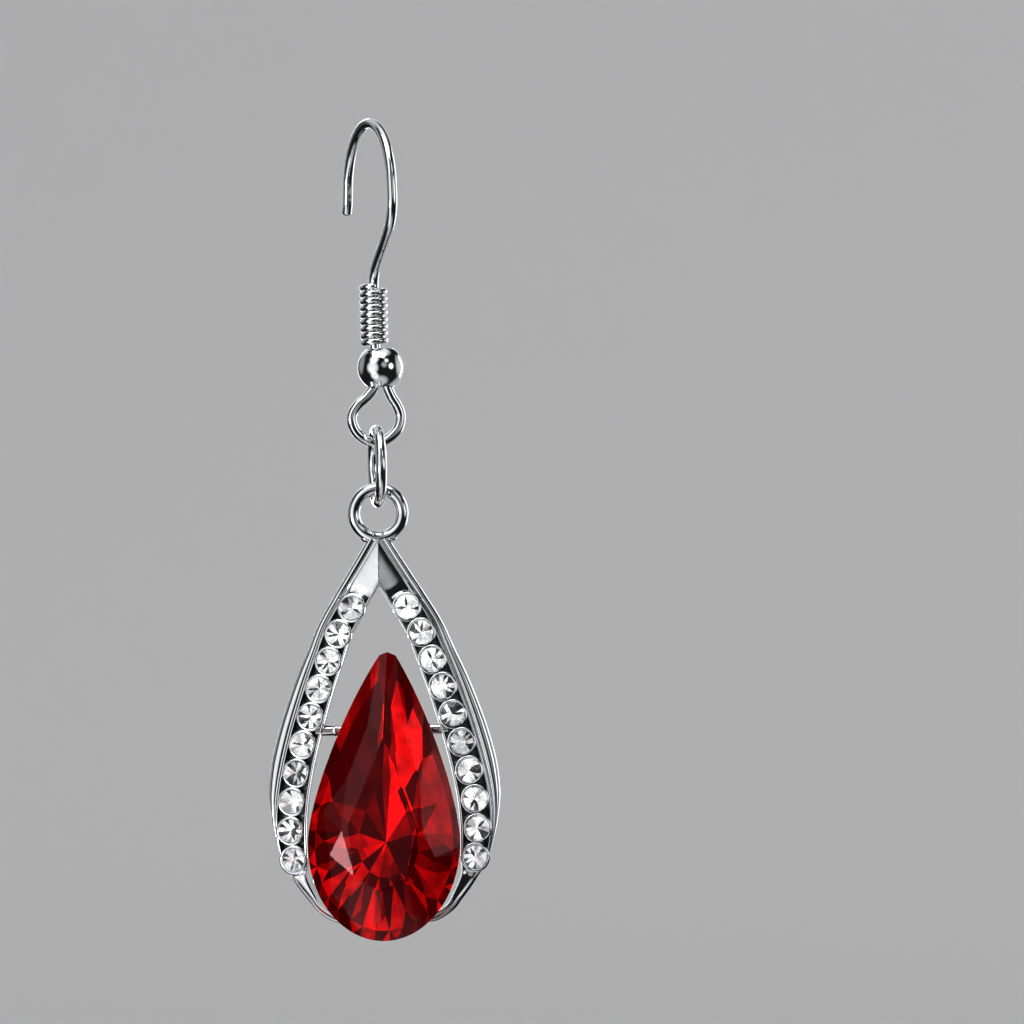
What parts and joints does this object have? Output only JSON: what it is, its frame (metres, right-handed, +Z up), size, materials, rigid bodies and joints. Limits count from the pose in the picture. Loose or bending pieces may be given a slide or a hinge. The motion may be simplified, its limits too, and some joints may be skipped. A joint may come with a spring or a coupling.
{
  "type": "drop earring",
  "caption": "Drop earring: hook wire with coil and bead, jump ring, and an open teardrop frame with rhinestone bands round a red pear stone.",
  "frame": {"origin": "hang point: the underside of the top of the ear wire's arch, where the wire rests in the ear", "axes": "+Z up, along which the earring hangs and is longest; -Y is the side that the pendant faces; +X is to the right of a viewer who looks at the pendant"},
  "size_m": [0.0158, 0.0095, 0.0559],
  "materials": {
    "metal": "polished",
    "red_stone": "polished, foil backed",
    "clear_stone": "polished"
  },
  "bodies": {
    "ear_wire": {"ear_hook": "metal", "hook_coil": "metal", "ball_bead": "metal"},
    "link_ring": {"jump_ring": "metal"},
    "pendant": {"pendant_frame": "metal", "pear_stone": "red_stone", "rhinestone_left_01": "clear_stone", "rhinestone_left_02": "clear_stone", "rhinestone_left_03": "clear_stone", "rhinestone_left_04": "clear_stone", "rhinestone_left_05": "clear_stone", "rhinestone_left_06": "clear_stone", "rhinestone_left_07": "clear_stone", "rhinestone_left_08": "clear_stone", "rhinestone_left_09": "clear_stone", "rhinestone_left_10": "clear_stone", "rhinestone_right_01": "clear_stone", "rhinestone_right_02": "clear_stone", "rhinestone_right_03": "clear_stone", "rhinestone_right_04": "clear_stone", "rhinestone_right_05": "clear_stone", "rhinestone_right_06": "clear_stone", "rhinestone_right_07": "clear_stone", "rhinestone_right_08": "clear_stone", "rhinestone_right_09": "clear_stone", "rhinestone_right_10": "clear_stone"}
  },
  "joints": [
    {"name": "ring_swing", "type": "hinge", "parent": "ear_wire", "child": "link_ring", "pos_m": [0, 0, -0.0214], "axis": [0.9744, 0.225, 0], "range_deg": [-60, 60]},
    {"name": "pendant_swing", "type": "hinge", "parent": "link_ring", "child": "pendant", "pos_m": [0, 0, -0.02546], "axis": [0, 1, 0], "range_deg": [-60, 60]}
  ]
}
